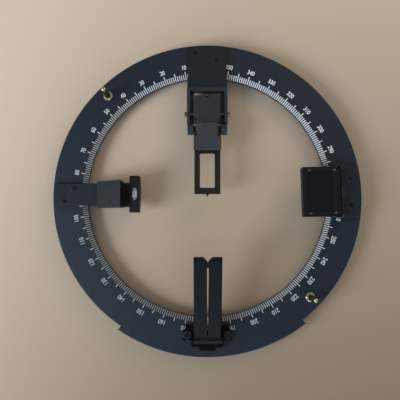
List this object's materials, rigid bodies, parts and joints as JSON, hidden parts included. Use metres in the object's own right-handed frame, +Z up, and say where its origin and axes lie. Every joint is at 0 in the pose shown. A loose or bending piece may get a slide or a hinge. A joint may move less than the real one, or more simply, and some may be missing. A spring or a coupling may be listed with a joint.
{
  "type": "bearing circle",
  "caption": "Ring that turns on a ship's compass, with a folding sight frame and black mirror, an eye vane, a sun mirror, and a sun prism with a spirit level.",
  "frame": {"origin": "centre of the bezel bore, at the ring's underside", "axes": "+Z up along the ring's axis; +Y along the sight line, from the eye vane to the sight frame; +X towards the sun mirror"},
  "size_m": [0.24, 0.2434, 0.0387],
  "materials": {
    "anodised_blue": "satin blue-grey anodised",
    "anodised_black": "satin black anodised",
    "mirror_black": "satin black, lighter",
    "brass": "turned and lacquered",
    "steel": "turned stainless steel",
    "black_steel": "black oxide",
    "clear_glass": "polished",
    "black_glass": "polished black",
    "spirit": "pale green liquid",
    "silvered_glass": "polished, silvered"
  },
  "bodies": {
    "ring_body": {"ring": "anodised_blue", "turning_knob_left": "brass", "turning_knob_right": "brass", "foresight_plate": "anodised_black", "foresight_plate_screws": "black_steel", "foresight_bracket": "anodised_black", "foresight_bracket_screws": "steel", "reading_prism": "clear_glass", "reading_prism_case": "anodised_black", "reading_prism_cover": "mirror_black", "reading_prism_cover_screws": "steel", "reading_prism_clamp_screws": "steel", "sight_frame_pivots": "steel", "sight_frame_washers": "steel", "eye_vane_base": "anodised_blue", "eye_vane_base_screws": "black_steel", "eye_vane_pin": "steel", "eye_vane_washers": "steel", "level_plate": "anodised_blue", "level_plate_screws": "black_steel", "sun_prism_housing": "anodised_blue", "sun_prism_housing_screws": "steel", "sun_prism_lid": "anodised_blue", "sun_prism_lid_screws": "black_steel", "sun_prism": "clear_glass", "level_bracket": "anodised_black", "level_bracket_screws": "steel", "level_case": "anodised_black", "level_case_screws": "steel", "level_vial": "clear_glass", "level_spirit": "spirit", "level_end_caps": "anodised_black", "sun_mirror_base": "anodised_black", "sun_mirror_base_screws": "black_steel", "sun_mirror_hinge_pin": "steel"},
    "sight_frame": {"sight_frame": "anodised_black", "sight_wire": "black_steel", "sight_wire_screws": "steel"},
    "black_mirror": {"black_mirror_holder": "mirror_black", "black_mirror_glass": "black_glass", "black_mirror_pivot_screws": "steel"},
    "eye_vane": {"eye_vane": "anodised_blue"},
    "sun_mirror": {"sun_mirror_case": "anodised_black", "sun_mirror_back_panel": "anodised_black", "sun_mirror_glass": "silvered_glass", "sun_mirror_clips": "steel"}
  },
  "joints": [
    {"name": "eye_vane_hinge", "type": "hinge", "parent": "ring_body", "child": "eye_vane", "pos_m": [0, -0.1085, 0.0155], "axis": [1, 0, 0], "range_deg": [-20, 70]},
    {"name": "sight_frame_hinge", "type": "hinge", "parent": "ring_body", "child": "sight_frame", "pos_m": [0, 0.05, 0.016], "axis": [-1, 0, 0], "range_deg": [0, 90]},
    {"name": "black_mirror_tilt", "type": "hinge", "parent": "sight_frame", "child": "black_mirror", "pos_m": [0, 0.0458, 0.019], "axis": [-1, 0, 0], "range_deg": [0, 85]},
    {"name": "sun_mirror_hinge", "type": "hinge", "parent": "ring_body", "child": "sun_mirror", "pos_m": [0.10358, 0.00199, 0.015], "axis": [-0.0192, 0.9998, 0], "range_deg": [0, 135]}
  ]
}
